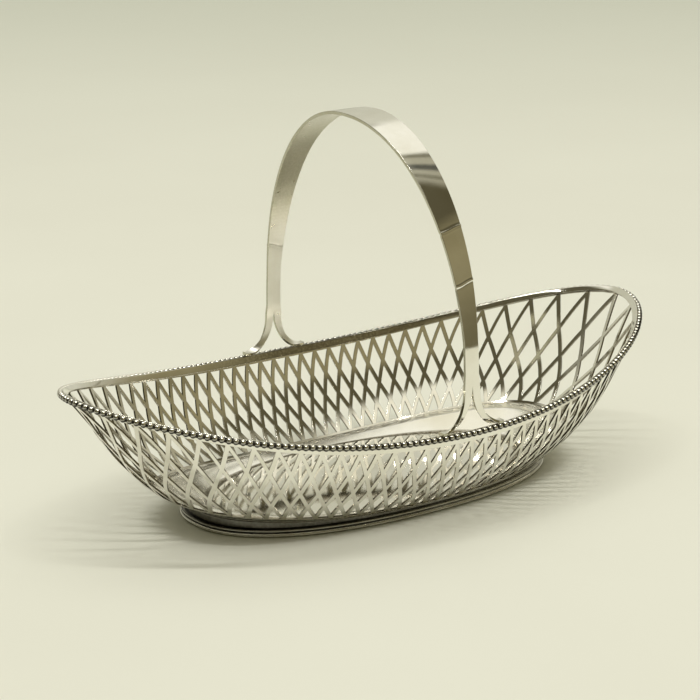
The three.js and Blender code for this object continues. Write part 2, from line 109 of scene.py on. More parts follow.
def quarter_lines(share):
    """For each height share, points along a quarter of the side, from its middle to the tip."""
    length = mix(SKIRT["half_length"], RIM["half_length"], swell(share, SWELL_ALONG))[:, None]
    width = mix(SKIRT["half_width"], RIM["half_width"], swell(share, SWELL_ACROSS))[:, None]
    exponent, middle, tip, rise = (
        mix(SKIRT[key], RIM[key], share)[:, None] for key in ("exponent", "middle", "tip", "rise")
    )
    along = np.sin(QUARTER)[None, :] ** (2 / exponent)
    across = np.maximum(np.cos(QUARTER), 0)[None, :] ** (2 / exponent)
    return np.stack([length * along, width * across, middle + (tip - middle) * along**rise], axis=2)


def matched(*values):
    return np.broadcast_arrays(*(np.asarray(value, float) for value in values))


def side_points(columns, shares, pitches):
    """Points of the side's outer face, by column round the basket, height share and pitch."""
    columns, shares, pitches = matched(columns, shares, pitches)
    found = []
    for start in range(0, len(columns), BATCH):
        part = slice(start, start + BATCH)
        column, share, pitch = columns[part], shares[part], pitches[part]
        t = share_of_quarter(column)
        wanted = pitch * t + (1 - pitch) * t**PITCH_POWER
        line = quarter_lines(share)
        steps = np.linalg.norm(np.diff(line, axis=1), axis=2)
        runs = np.concatenate([np.zeros((len(column), 1)), np.cumsum(steps, axis=1)], axis=1)
        run = wanted * runs[:, -1]
        at = np.clip((runs < run[:, None]).sum(axis=1), 1, len(QUARTER) - 1)
        rows = np.arange(len(column))
        part_way = (run - runs[rows, at - 1]) / (runs[rows, at] - runs[rows, at - 1])
        found.append(mirror(mix(line[rows, at - 1], line[rows, at], part_way[:, None]), column))
    return np.concatenate(found)


def side_directions(columns, shares, pitches):
    """Up along the side, square to it inwards, and millimetres for each height share."""
    columns, shares, pitches = matched(columns, shares, pitches)
    around = side_points(columns + NUDGE, shares, pitches) - side_points(columns - NUDGE, shares, pitches)
    climb = side_points(columns, shares + NUDGE, pitches) - side_points(columns, shares - NUDGE, pitches)
    inward = np.cross(climb, around)
    inward /= np.linalg.norm(inward, axis=1)[:, None]
    length = np.linalg.norm(climb, axis=1)
    return climb / length[:, None], inward, length / (2 * NUDGE)


def row_share(column, row):
    """The height share of a row of the lattice, or of a place between two, at a column."""
    to_tip = share_of_quarter(column) ** 2
    rows = [mix(TOP_ROW_MIDDLE, TOP_ROW_TIP, to_tip), *CROSSING_ROWS, 0]
    below = min(int(math.floor(row)), ROWS - 1)
    return mix(rows[below], rows[below + 1], row - below)


def row_pitch(row):
    return mix(PITCH_TOP, PITCH_BOTTOM, min(max(row, 0), ROWS) / ROWS)


def row_points(columns, row):
    return side_points(columns, [row_share(column, row) for column in columns], row_pitch(row))


def towards(oval, points, height=0.0, offset=0.0):
    """The points of an oval on the level lines from the middle of the floor towards points."""
    along = np.abs(points[:, 0]) / (oval["half_length"] + offset)
    across = np.abs(points[:, 1]) / (oval["half_width"] + offset)
    reach = (along ** oval["exponent"] + across ** oval["exponent"]) ** (1 / oval["exponent"])
    ring = points / reach[:, None]
    ring[:, 2] = height
    return ring


def border_ring(edge, crease_height, share, climb):
    """The border's ring at a share of the way from the well's crease to the edge."""
    ring = mix(towards(WELL, edge, crease_height), edge, share)
    ring[:, 2] = mix(crease_height, edge[:, 2], climb)
    return ring


# Mesh helpers


def make_piece(name, points, faces, material, nodes):
    """A smooth mesh object from points in millimetres, in place of nodes of the solids."""
    mesh = bpy.data.meshes.new(name)
    mesh.from_pydata([tuple(p) for p in np.asarray(points, float) * MM], [], faces)
    mesh.validate()
    mesh.update()
    mesh.polygons.foreach_set("use_smooth", [True] * len(mesh.polygons))
    piece = bpy.data.objects.new(name, mesh)
    bpy.context.scene.collection.objects.link(piece)
    mesh.materials.append(material)
    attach(piece, "root")
    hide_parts(*nodes)
    return piece


def round_edges(piece, width, angle):
    """Round the edges that are sharper than an angle."""
    bevel = piece.modifiers.new("rounded edges", "BEVEL")
    bevel.width = width * MM
    bevel.segments = 2
    bevel.limit_method = "ANGLE"
    bevel.angle_limit = math.radians(angle)
    bevel.harden_normals = True


def skin(ring_count, ring_size, closed=False, first=0):
    """Quads between rings of points that are numbered from first on; closed joins the ends too."""
    faces = []
    for ring in range(ring_count if closed else ring_count - 1):
        low, high = first + ring * ring_size, first + ((ring + 1) % ring_count) * ring_size
        for i in range(ring_size):
            j = (i + 1) % ring_size
            faces.append((low + i, low + j, high + j, high + i))
    return faces


def even_turns(count):
    return np.linspace(0, 2 * math.pi, count, endpoint=False)


def spokes(count, across, up):
    """Even directions round a wire."""
    turn = even_turns(count)
    return np.cos(turn)[:, None] * across + np.sin(turn)[:, None] * up


def store(piece, name, values, domain="POINT"):
    """A number for each point or face: "corner" darkens the silver there with painted shade and tarnish, and
    "unpolished" dulls it.
    """
    attribute = piece.data.attributes.new(name, "FLOAT", domain)
    attribute.data.foreach_set("value", np.asarray(values, np.float32))


# Node helpers


class Graph:
    """The nodes of a material or of the world, each made and linked by one short call."""

    def __init__(self, owner):
        owner.use_nodes = True
        self.nodes, self.links = owner.node_tree.nodes, owner.node_tree.links

    def feed(self, socket, value):
        """Link an output to an input, or set a number or a colour on it."""
        if isinstance(value, bpy.types.NodeSocket):
            self.links.new(value, socket)
        elif isinstance(value, tuple):
            socket.default_value = (*value, 1)
        else:
            socket.default_value = value

    def coordinates(self, kind):
        return self.nodes.new("ShaderNodeTexCoord").outputs[kind]

    def separate(self, vector):
        node = self.nodes.new("ShaderNodeSeparateXYZ")
        self.links.new(vector, node.inputs["Vector"])
        return [node.outputs[axis] for axis in "XYZ"]

    def turned(self, vector, rotation, scale=(1, 1, 1)):
        node = self.nodes.new("ShaderNodeMapping")
        node.inputs["Rotation"].default_value = rotation
        node.inputs["Scale"].default_value = scale
        self.links.new(vector, node.inputs["Vector"])
        return node.outputs["Vector"]

    def attribute(self, name):
        node = self.nodes.new("ShaderNodeAttribute")
        node.attribute_name = name
        return node.outputs["Fac"]

    def noise(self, vector, scale, detail, roughness=0.5):
        node = self.nodes.new("ShaderNodeTexNoise")
        node.inputs["Scale"].default_value = scale
        node.inputs["Detail"].default_value = detail
        node.inputs["Roughness"].default_value = roughness
        self.links.new(vector, node.inputs["Vector"])
        return node.outputs["Fac"]

    def ramp(self, value, stops):
        node = self.nodes.new("ShaderNodeValToRGB")
        elements = node.color_ramp.elements
        while len(elements) < len(stops):
            elements.new(0.5)
        for element, (position, colour) in zip(elements, stops):
            element.position = position
            element.color = (*colour, 1)
        self.links.new(value, node.inputs["Fac"])
        return node.outputs["Color"]

    def fit(self, value, span, to=(0.0, 1.0), smooth=False):
        """A value moved from one span to another and held at the ends."""
        node = self.nodes.new("ShaderNodeMapRange")
        if smooth:
            node.interpolation_type = "SMOOTHSTEP"
        node.inputs["From Min"].default_value, node.inputs["From Max"].default_value = span
        node.inputs["To Min"].default_value, node.inputs["To Max"].default_value = to
        self.links.new(value, node.inputs["Value"])
        return node.outputs["Result"]

    def math(self, operation, *values):
        node = self.nodes.new("ShaderNodeMath")
        node.operation = operation
        for socket, value in zip(node.inputs, values):
            self.feed(socket, value)
        return node.outputs["Value"]

    def mix(self, factor, first, second):
        """A mix of two colours; its sockets go by number, because the node repeats their names."""
        node = self.nodes.new("ShaderNodeMix")
        node.data_type = "RGBA"
        self.feed(node.inputs["Factor"], factor)
        self.feed(node.inputs[6], first)
        self.feed(node.inputs[7], second)
        return node.outputs[2]

    def bump(self, height, strength, distance, normal=None):
        node = self.nodes.new("ShaderNodeBump")
        node.inputs["Strength"].default_value = strength
        node.inputs["Distance"].default_value = distance
        self.links.new(height, node.inputs["Height"])
        if normal is not None:
            self.links.new(normal, node.inputs["Normal"])
        return node.outputs["Normal"]


# Silver

PATCHES, PATCH_SPAN = dict(scale=38, detail=4, roughness=0.6), (0.32, 0.62)
SPECKLE, SPECKLE_SPAN = dict(scale=900, detail=2), (0.3, 0.6)
WEAR, WEAR_SPAN = dict(scale=140, detail=5, roughness=0.62), (0.3, 0.7)
WAVES, WAVE_DEPTH = dict(scale=62, detail=2), 0.001
HAIRS, HAIR_DEPTH = dict(scale=420, detail=3, roughness=0.7), 0.00005
HAIR_TURN, HAIR_STRETCH = (0.3, 0.2, 0.6), (1, 14, 6)
UNPOLISHED_ROUGHNESS = 0.24


def silver(name, clean, dull, shade_and_tarnish, rough, waves, scratches, thinnest=0.7):
    """Old polished silver: soft waviness, hairline scratches, dull patches, and dark corners that are painted
    shade and tarnish.

    The speckle thins the painted shade and tarnish, down to thinnest at most.
    """
    material = bpy.data.materials.new(name)
    graph = Graph(material)
    shader = graph.nodes["Principled BSDF"]
    shader.inputs["Metallic"].default_value = 1.0
    place = graph.coordinates("Object")

    polished = graph.ramp(graph.noise(place, **PATCHES), list(zip(PATCH_SPAN, (dull, clean))))
    speckle = graph.fit(graph.noise(place, **SPECKLE), SPECKLE_SPAN, (thinnest, 1.0))
    # Painted shade and tarnish: the corner number, thinned by the speckle, pulls the colour towards the dark
    # one
    shaded_and_tarnished = graph.math("MULTIPLY", graph.attribute("corner"), speckle)
    graph.feed(shader.inputs["Base Color"], graph.mix(shaded_and_tarnished, polished, shade_and_tarnish))

    gloss = graph.fit(graph.noise(place, **WEAR), WEAR_SPAN, rough)
    rougher = graph.math("MULTIPLY_ADD", graph.attribute("unpolished"), UNPOLISHED_ROUGHNESS, gloss)
    graph.feed(shader.inputs["Roughness"], rougher)

    wavy = graph.bump(graph.noise(place, **WAVES), waves, WAVE_DEPTH)
    hairs = graph.noise(graph.turned(place, HAIR_TURN, HAIR_STRETCH), **HAIRS)
    graph.feed(shader.inputs["Normal"], graph.bump(hairs, scratches, HAIR_DEPTH, wavy))
    return material


CLEAN = (0.93, 0.915, 0.865)
DULL = (0.84, 0.815, 0.735)
# The dark colours that the painted shade and tarnish go to
TARNISH_AND_SHADE = (0.16, 0.135, 0.085)
OLIVE = (0.18, 0.165, 0.05)
BLACK_SHADE_AND_GRIME = (0.022, 0.019, 0.013)
# The foot's silver is a darker copy of the silver above: painted shade
FOOT_SHADED_CLEAN = (0.70, 0.69, 0.63)
FOOT_SHADED_DULL = (0.56, 0.54, 0.47)
# Roughness from and to, the waves' and the scratches' strength, and the thinnest painted shade and tarnish
pierced_silver = silver("silver pierced side", CLEAN, DULL, TARNISH_AND_SHADE, (0.04, 0.09), 0.06, 0.1)
floor_silver = silver("silver floor", CLEAN, DULL, TARNISH_AND_SHADE, (0.02, 0.06), 0.02, 0.04)
bead_silver = silver("silver beads", CLEAN, DULL, BLACK_SHADE_AND_GRIME, (0.05, 0.1), 0.02, 0.05, 0.95)
foot_silver = silver("silver foot", FOOT_SHADED_CLEAN, FOOT_SHADED_DULL, BLACK_SHADE_AND_GRIME, (0.05, 0.1), 0.05, 0.1, 0.9)
handle_silver = silver("silver handle", CLEAN, DULL, OLIVE, (0.03, 0.07), 0.04, 0.08, 0.85)


# Pierced side
# Rows count down: -1 and 0 are the plain band's edges, and ROWS and ROWS + 1 the strip's.

BAR_STEPS = 4
BAND_LEVELS, STRIP_LEVELS = (0, -0.35, -0.7, -1), (ROWS, ROWS + 1)
# Painted shade: the silver is darkened on the sawn edges and next to the wires, and on the band at the right.
# The painted shade by the rim starts some way up the band, and the right one at its lower edge, in rows.
SAWN_DARK, BAND_DARK, STRIP_DARK = 0.85, 0.8, 0.5
BAND_DARK_FROM, BAND_DARK_WIDTH = 0.6, 0.3
RIGHT_DARK, RIGHT_DARK_WIDTH = ((40, 90), (0, 0.5)), 0.15


def open_shares():
    """What is left of each opening once half a bar is taken off every edge."""
    whole = np.arange(COLUMNS).astype(float)
    found = {}
    for row in range(ROWS + 1):
        top, low = max(row - 1, 0), min(row + 1, ROWS)
        for columns in (whole, whole + 0.5):
            across = row_points(columns + 0.5, row) - row_points(columns - 0.5, row)
            width = np.linalg.norm(across, axis=1) / 2
            height = np.linalg.norm(row_points(columns, top) - row_points(columns, low), axis=1) / (low - top)
            left = 1 - (BAR_WIDTH / 2) * np.hypot(width, height) / (width * height)
            for column, value in zip(columns, left):
                found[(column, row)] = value
    return found


def between(a, b, t):
    return mix(a[0], b[0], t), mix(a[1], b[1], t)


class Lattice:
    """The outer face of the pierced side as patches by column and row, then as points."""

    def __init__(self):
        self.shares = open_shares()
        self.places = []
        self.index = {}
        self.faces = []

    def place(self, column, row):
        key = (round(column % COLUMNS, 5) % COLUMNS, round(row, 5))
        if key not in self.index:
            self.index[key] = len(self.places)
            self.places.append(key)
        return self.index[key]

    def face(self, *places):
        self.faces.append([self.place(*p) for p in places])

    def corner(self, column, row, to_side, to_row):
        """A corner of the opening whose middle is at a column and a row."""
        share = self.shares[(column % COLUMNS, row)]
        return (column + to_side * share / 2, row + to_row * share)

    def crossing(self, centre, row):
        """The patch where two bars cross."""
        self.face(
            self.corner(centre - 0.5, row, 1, 0),
            self.corner(centre, row + 1, 0, -1),
            self.corner(centre + 0.5, row, -1, 0),
            self.corner(centre, row - 1, 0, 1),
        )

    def bar(self, a, b, c, d):
        """A strip whose long edges run from a to d and from b to c."""
        for i in range(BAR_STEPS):
            low, high = i / BAR_STEPS, (i + 1) / BAR_STEPS
            self.face(between(a, d, low), between(b, c, low), between(b, c, high), between(a, d, high))

    def bars(self, centre, row):
        """The two bars that run down from a crossing."""
        top = self.corner(centre, row + 1, 0, -1)
        self.bar(
            top,
            self.corner(centre - 0.5, row, 1, 0),
            self.corner(centre - 0.5, row, 0, 1),
            self.corner(centre, row + 1, -1, 0),
        )
        self.bar(
            self.corner(centre + 0.5, row, -1, 0),
            top,
            self.corner(centre, row + 1, 1, 0),
            self.corner(centre + 0.5, row, 0, 1),
        )

    def feet(self, column):
        """The bars' feet, at the plain band above and at the strip below."""
        left, right = self.corner(column - 0.5, 0, 1, 0), self.corner(column + 0.5, 0, -1, 0)
        self.face(self.corner(column, 1, 0, -1), right, (column, 0), left)
        left, right = self.corner(column - 0.5, ROWS, 1, 0), self.corner(column + 0.5, ROWS, -1, 0)
        self.face(self.corner(column, ROWS - 1, 0, 1), left, (column, ROWS), right)

    def borders(self, column):
        """The plain band and the strip, in four steps from one foot's middle to the next."""
        half = column + 0.5
        for row, levels in ((0, BAND_LEVELS), (ROWS, STRIP_LEVELS)):
            opening = self.corner(half, row, 1, 0)[0] - half
            stops = [column, half - opening, half, half + opening, column + 1]
            for low, high in zip(levels, levels[1:]):
                for a, b in zip(stops, stops[1:]):
                    if row == 0:
                        self.face((a, low), (b, low), (b, high), (a, high))
                    else:
                        self.face((a, high), (b, high), (b, low), (a, low))

    def points(self):
        columns, rows = np.array(self.places, float).T
        inner = np.clip(rows, 0, ROWS)
        shares = np.array([row_share(c, r) for c, r in zip(columns, inner)])
        pitches = np.array([row_pitch(r) for r in rows])
        top, low = rows < 0, rows > ROWS
        ends = np.where(top, 1.0, 0.0)
        clear = np.where(top, TOP_BORDER, LOW_BORDER)
        per_share = side_directions(columns, ends, pitches)[2]
        border = ends + clear / per_share
        beyond = np.where(top, -rows, np.where(low, rows - ROWS, 0.0))
        return side_points(columns, mix(shares, border, beyond), pitches)


def thicken(piece):
    """Give the sheet its thickness for good, and tell which faces are cut through it."""
    solid = piece.modifiers.new("sheet", "SOLIDIFY")
    solid.thickness = SHEET * MM
    solid.offset = -1
    solid.use_even_offset = True
    # The cut faces have a second material until they are found
    solid.material_offset_rim = 1
    piece.data.materials.append(pierced_silver)
    thick = bpy.data.meshes.new_from_object(piece.evaluated_get(bpy.context.evaluated_depsgraph_get()))
    piece.modifiers.remove(solid)
    piece.data = thick
    cut = np.zeros(len(thick.polygons), np.int32)
    thick.polygons.foreach_get("material_index", cut)
    thick.polygons.foreach_set("material_index", np.zeros(len(cut), np.int32))
    thick.materials.pop()
    return cut > 0


def painted_side_shade(mesh, cut):
    """Painted shade: dark sawn edges, dark strips next to the wires, and a darkened band at the near side's
    right.
    """
    rows = np.zeros(len(mesh.vertices), np.float32)
    mesh.attributes["row"].data.foreach_get("value", rows)
    row = np.array([rows[list(face.vertices)].mean() for face in mesh.polygons])
    centres = np.array([face.center for face in mesh.polygons]) / MM
    strips = ramp_up(-row, BAND_DARK_FROM, BAND_DARK_WIDTH) * BAND_DARK + ramp_up(row, ROWS, 1) * STRIP_DARK
    right_side = np.interp(centres[:, 0], *RIGHT_DARK) * (centres[:, 1] < 0)
    right_side = right_side * ramp_up(-row, 0, RIGHT_DARK_WIDTH)
    return np.where(cut, SAWN_DARK, np.maximum(strips, right_side))


def pierced_side():
    lattice = Lattice()
    for column in range(COLUMNS):
        centres = [column + 0.5 if row % 2 else column for row in range(ROWS)]
        for row in range(1, ROWS):
            lattice.crossing(centres[row], row)
        for row in range(ROWS):
            lattice.bars(centres[row], row)
        lattice.feet(column)
        lattice.borders(column)
    points, faces = lattice.points(), lattice.faces
    piece = make_piece("side_sheet", points, faces, pierced_silver, ["pierced_side"])
    store(piece, "row", [row for _, row in lattice.places])
    cut = thicken(piece)
    store(piece, "corner", painted_side_shade(piece.data, cut), "FACE")
    round_edges(piece, width=0.16, angle=40)


# Rim

BEAD_LINE_STEPS, BEAD_REACH = 1200, 0.4
NECK_SIDES, BEAD_SIDES, BEAD_BANDS = 8, 16, 10
BEAD_CLEARANCE, BEAD_LENGTH = 0.1, 0.96
BEAD_UNEVENNESS, BEAD_SHIFT = 0.01, 0.02
# How high the painted shade under a bead reaches, of its radius; it climbs from left to right on the far rim
UNDER_SHADE_HEIGHT = 0.15
FAR_UNDER_SHADE_HEIGHT = ((-60, 0), (0.15, 0.85))
RIGHT_TIP = ((115, 140), (0, 1))
SHADE_EDGE = 0.3
GAP_FROM, GAP_EDGE, OUTSIDE_FROM = 0.62, 0.2, 0.2

# The flat wire inside the beads, as steps up from the bead line and inwards from it
STRIP_STEPS, STRIP_SIDES = 432, 20
STRIP_LOWEST, STRIP_HIGHEST, STRIP_HALF_THICKNESS = -3.3, 1.0, 0.3
STRIP_INWARD, STRIP_LEAN = 1.95, 0.15
SQUARE_ACROSS, SQUARE_ALONG = 0.4, 0.7
# Half of what its top is lowered by, at the tips by distance from the middle and on the far side
TIP_DROP = ((120, 150), (0, 0.35))
FAR_DROP = 0.22
# Painted shade: how dark the side by the wall is, and how dark it is behind the far leg, by distance along
WALL_DARK = 0.7
BEHIND_LEG_DARK = ((-55, 0, 85, 110), (0.0, 0.8, 0.8, 0.0))


def bead_stations(side, count):
    """Even steps along the bead line of one long side: points and directions."""
    start = -COLUMNS / 4 if side == "near" else COLUMNS / 4
    columns = start + np.linspace(0, COLUMNS / 2, BEAD_LINE_STEPS + 1)
    line = side_points(columns, 1.0, 1.0)
    runs = np.concatenate([[0], np.cumsum(np.linalg.norm(np.diff(line, axis=0), axis=1))])
    wanted = np.linspace(0, runs[-1], count + 1)

    def at(run):
        return np.stack([np.interp(run, runs, line[:, k]) for k in range(3)], axis=1)

    along = at(wanted + BEAD_REACH) - at(wanted - BEAD_REACH)
    return at(wanted), along / np.linalg.norm(along, axis=1)[:, None]


def bead_shade_and_grime(side, centre, radius, inward, ring, angle):
    """Darkening on a bead's ring: grime and painted shade in the gaps, and painted shade underneath and
    outside round the right tip.
    """
    reach = np.interp(centre[0], *FAR_UNDER_SHADE_HEIGHT) if side == "far" else UNDER_SHADE_HEIGHT
    gap = ramp_up(abs(math.cos(angle)), GAP_FROM, GAP_EDGE)
    under = ramp_up(reach - (ring - centre)[:, 2] / radius, 0, SHADE_EDGE)
    outward = -((ring - centre) @ inward) / radius
    outside = ramp_up(outward, OUTSIDE_FROM, SHADE_EDGE) * np.interp(centre[0], *RIGHT_TIP)
    return np.maximum(gap, np.maximum(under, outside))


def bead_wire(side):
    points, along = bead_stations(side, BEADS_PER_HALF * 2)
    inward = np.stack([-along[:, 1], along[:, 0], np.zeros(len(along))], axis=1)
    inward /= np.linalg.norm(inward, axis=1)[:, None]
    up = np.cross(along, inward)

    # The thin wire that the beads are turned from
    necks = [p + BEAD_NECK * spokes(NECK_SIDES, n, u) for p, n, u in zip(points, inward, up)]
    verts = list(np.concatenate(necks))
    faces = skin(len(necks), NECK_SIDES)
    # The neck between the beads is darkened all over: painted shade
    corners = [1.0] * len(verts)

    # The beads: rings from pole to pole along the wire, each bead a little uneven
    for k in range(1, len(points), 2):
        radius = (BEAD_RADIUS - BEAD_CLEARANCE) * (1 + BEAD_UNEVENNESS * rng.standard_normal())
        centre = points[k] + BEAD_SHIFT * rng.standard_normal(3)
        half_length = radius * BEAD_LENGTH
        first = len(verts)
        for band in range(1, BEAD_BANDS):
            angle = math.pi * band / BEAD_BANDS
            middle = centre - along[k] * half_length * math.cos(angle)
            ring = middle + radius * math.sin(angle) * spokes(BEAD_SIDES, inward[k], up[k])
            verts += list(ring)
            corners += list(bead_shade_and_grime(side, centre, radius, inward[k], ring, angle))
        faces += skin(BEAD_BANDS - 1, BEAD_SIDES, first=first)
        last = first + (BEAD_BANDS - 2) * BEAD_SIDES
        for pole, ring_start in ((-1, first), (1, last)):
            tip = len(verts)
            verts.append(centre + along[k] * half_length * pole)
            # The poles, where the beads meet, are darkened: painted shade
            corners.append(1.0)
            for i in range(BEAD_SIDES):
                a, b = ring_start + i, ring_start + (i + 1) % BEAD_SIDES
                faces.append((tip, b, a) if pole == -1 else (tip, a, b))
    piece = make_piece(f"beads_{side}", verts, faces, bead_silver, [f"bead_wire_{side}"])
    store(piece, "corner", corners)


def rim_wire():
    """A flat wire along the inside of the plain band and the beads, up to just under their tops."""
    columns = np.arange(STRIP_STEPS) * COLUMNS / STRIP_STEPS
    up, inward, _ = side_directions(columns, 1 - NUDGE, PITCH_TOP)
    line = side_points(columns, 1.0, PITCH_TOP)
    centre = line + up * (STRIP_LOWEST + STRIP_HIGHEST) / 2 + inward * STRIP_INWARD
    tilted = up - STRIP_LEAN * inward
    turn = even_turns(STRIP_SIDES)
    half_height = (STRIP_HIGHEST - STRIP_LOWEST) / 2
    across = STRIP_HALF_THICKNESS * np.sign(np.cos(turn)) * np.abs(np.cos(turn)) ** SQUARE_ACROSS
    along = half_height * np.sign(np.sin(turn)) * np.abs(np.sin(turn)) ** SQUARE_ALONG
    # Its top is lower on the far side and at the tips, where the beads show over it
    far = centre[:, 1] > 0
    drops = np.maximum(np.interp(np.abs(centre[:, 0]), *TIP_DROP), FAR_DROP * far)
    rings = [
        c + across[:, None] * n + (along * (1 - drop / half_height) - drop)[:, None] * u
        for c, n, u, drop in zip(centre, inward, tilted, drops)
    ]
    faces = skin(STRIP_STEPS, STRIP_SIDES, closed=True)
    points = np.concatenate(rings)
    piece = make_piece("rim_stiffener", points, faces, pierced_silver, ["rim_wire"])
    # Painted shade: it is darkened on the side by the wall, and blackest from behind the strap's far leg to
    # the right
    wall = np.clip(-np.cos(turn), 0, 1) * WALL_DARK
    black = np.interp(centre[:, 0], *BEHIND_LEG_DARK) * far
    store(piece, "corner", np.maximum(wall[None, :], black[:, None]).ravel())


# Floor and foot

RING_STEPS = 288
RING_COLUMNS = np.arange(RING_STEPS) * COLUMNS / RING_STEPS
_, INWARD, PER_SHARE = side_directions(RING_COLUMNS, 0.0, PITCH_BOTTOM)
PAN_EDGE = side_points(RING_COLUMNS, LOW_BORDER / PER_SHARE, PITCH_BOTTOM)

# The well's rings go by size, and the border's by the share of the way from the crease to the edge
UNDERSIDE_RINGS = (0.02, 0.5, 0.98)
BORDER_RINGS = (0, 0.04, 0.09, 0.11, 0.2, 0.3, 0.45, 0.6, 0.7, 0.76, 0.82, 0.88, 0.95, 1)
WELL_RINGS = (0.985, 0.972, 0.965, 0.92, 0.85, 0.75, 0.63, 0.5, 0.36, 0.2, 0.02)
BORDER_CLIMB = ((0, 0.72, 0.86, 1), (0, 0.93, 0.985, 1))
# Painted shade and tarnish: how dark the underside's edge is and the dark lines at the border's crease and
# the well's edge
UNDER_EDGE_DARK, BORDER_UNPOLISHED = 0.4, 0.4
BORDER_DARK = {1: 0.3, 0.09: 0.6, 0.04: 1.0, 0: 1.0}
WELL_DARK = {0.985: 1.0, 0.972: 0.2}

# Painted shade in the foot's corners, heavier towards the left end
FOOT_SHADE = ((-60, 70), (1.0, 0.55))
BAND_INNER, BAND_OUTER, BAND_BOW, BAND_STEPS, BAND_GAP = -3.7, -2.5, 0.12, 6, 0.02
BAND_SHADE = ((4.2, 5.4), (1.0, 0.82))
BAND_TOP_SHADE = 0.5
# The foot wire's section, as steps out from the foot's oval and up from the table
FOOT_SECTION = (
    (-2.55, 3.9), (-1.0, 3.9), (-0.5, 3.4), (-0.5, 2.8), (-1.1, 2.3),
    (0, 1.6), (0, 0.6), (-0.7, 0), (-2.55, 0),
)
SECTION_REACH, SECTION_STEPS, LONGEST_CUT = 0.45, 4, 0.45
# The heights of the wire's groove and of its joint to the band, and how far out its back ends
GROOVE_LOW, GROOVE_HIGH, JOINT_FROM, WIRE_BACK = 1.9, 2.9, 3.6, -2.2
BROAD_WAVE, SLANTING_WAVE = 0.045, 0.03


def well_ring(height, size):
    return towards(WELL, PAN_EDGE, height) * np.array([size, size, 1])


def uneven(x, y):
    """A hand-raised floor isn't quite flat: it has a broad wave and a slanting one."""
    broad = BROAD_WAVE * np.sin(x / 23 + 0.6) * np.sin(y / 17 + 1.1)
    return broad + SLANTING_WAVE * np.sin((x + y) / 11)


def floor_pan():
    """Rings from the middle of the underside out, over the edge and back to the middle."""
    rings, dark, unpolished = [], [], []

    def add(ring, darkness, dullness=0.0):
        rings.append(ring)
        dark.append(darkness)
        unpolished.append(dullness)

    top = WELL_UNDERSIDE + SHEET
    upper_edge = PAN_EDGE + INWARD * SHEET
    for size in UNDERSIDE_RINGS:
        add(well_ring(WELL_UNDERSIDE, size), 0.0)
    for share in BORDER_RINGS:
        ring = border_ring(PAN_EDGE, WELL_UNDERSIDE, share, share**BORDER_HOLLOW)
        add(ring, UNDER_EDGE_DARK if share == 1 else 0.0)
    for share in reversed(BORDER_RINGS):
        ring = border_ring(upper_edge, top, share, np.interp(share, *BORDER_CLIMB))
        add(ring, BORDER_DARK.get(share, 0.0), BORDER_UNPOLISHED)
    for size in WELL_RINGS:
        add(well_ring(top, size), WELL_DARK.get(size, 0.0))

    faces = skin(len(rings), RING_STEPS)
    last = (len(rings) - 1) * RING_STEPS
    faces.append(list(range(RING_STEPS - 1, -1, -1)))
    faces.append(list(range(last, last + RING_STEPS)))
    points = np.concatenate(rings)
    points[:, 2] += uneven(points[:, 0], points[:, 1])
    piece = make_piece("floor_dish", points, faces, floor_silver, ["floor_pan"])
    store(piece, "corner", np.repeat(dark, RING_STEPS))
    store(piece, "unpolished", np.repeat(unpolished, RING_STEPS))
    round_edges(piece, width=0.12, angle=30)


def foot_ring(name, rings, node, corners):
    faces = skin(len(rings), RING_STEPS, closed=True)
    piece = make_piece(name, np.concatenate(rings), faces, foot_silver, [node])
    # The painted shade is heavier towards the left end
    thick = np.interp(PAN_EDGE[:, 0], *FOOT_SHADE)
    store(piece, "corner", np.concatenate([corner * thick for corner in corners]))


def rounded(section):
    """A section's corners cut to short arcs, as (out, up) pairs."""
    found = []
    for i, corner in enumerate(section):
        corner = np.array(corner, float)
        before = np.array(section[i - 1], float) - corner
        after = np.array(section[(i + 1) % len(section)], float) - corner
        a = corner + before * min(LONGEST_CUT, SECTION_REACH / np.linalg.norm(before))
        b = corner + after * min(LONGEST_CUT, SECTION_REACH / np.linalg.norm(after))
        for t in np.linspace(0, 1, SECTION_STEPS):
            found.append(tuple((1 - t) ** 2 * a + 2 * t * (1 - t) * corner + t**2 * b))
    return found


def foot_band():
    """The upright strip, a little bowed out, that meets the border's underside."""
    crease = np.linalg.norm(towards(WELL, PAN_EDGE)[:, :2], axis=1)
    reach = np.linalg.norm(PAN_EDGE[:, :2], axis=1) - crease

    def top(out):
        ring = towards(FOOT, PAN_EDGE, 0.0, out)
        share = (np.linalg.norm(ring[:, :2], axis=1) - crease) / reach
        return mix(WELL_UNDERSIDE, PAN_EDGE[:, 2], share**BORDER_HOLLOW) - BAND_GAP

    # Down the outer face from the top, and then up the inner one
    rings = []
    for share in np.linspace(0, 1, BAND_STEPS + 1):
        ring = towards(FOOT, PAN_EDGE, 0.0, BAND_OUTER + BAND_BOW * math.sin(math.pi * share))
        ring[:, 2] = top(BAND_OUTER) * (1 - share)
        rings.append(ring)
    # Painted shade on the band's outer face, heaviest low down
    corners = [np.interp(ring[:, 2], *BAND_SHADE) for ring in rings]
    rings += [towards(FOOT, PAN_EDGE, height, BAND_INNER) for height in (0.0, top(BAND_INNER))]
    corners += [0.0, BAND_TOP_SHADE]
    foot_ring("foot_upright", rings[::-1], "foot_band", corners[::-1])


def groove_shade(out, up):
    """Painted shade: the foot wire is black in its groove and its joint, and dark at the back."""
    if out > WIRE_BACK and (GROOVE_LOW < up < GROOVE_HIGH or up > JOINT_FROM):
        return 1.0
    return 0.9 if out < -2 else 0.3


def foot_wire():
    section = rounded(FOOT_SECTION)
    rings = [towards(FOOT, PAN_EDGE, up, out) for out, up in section]
    corners = [groove_shade(out, up) for out, up in section]
    foot_ring("foot_moulding", rings, "foot_wire", corners)


# Handle

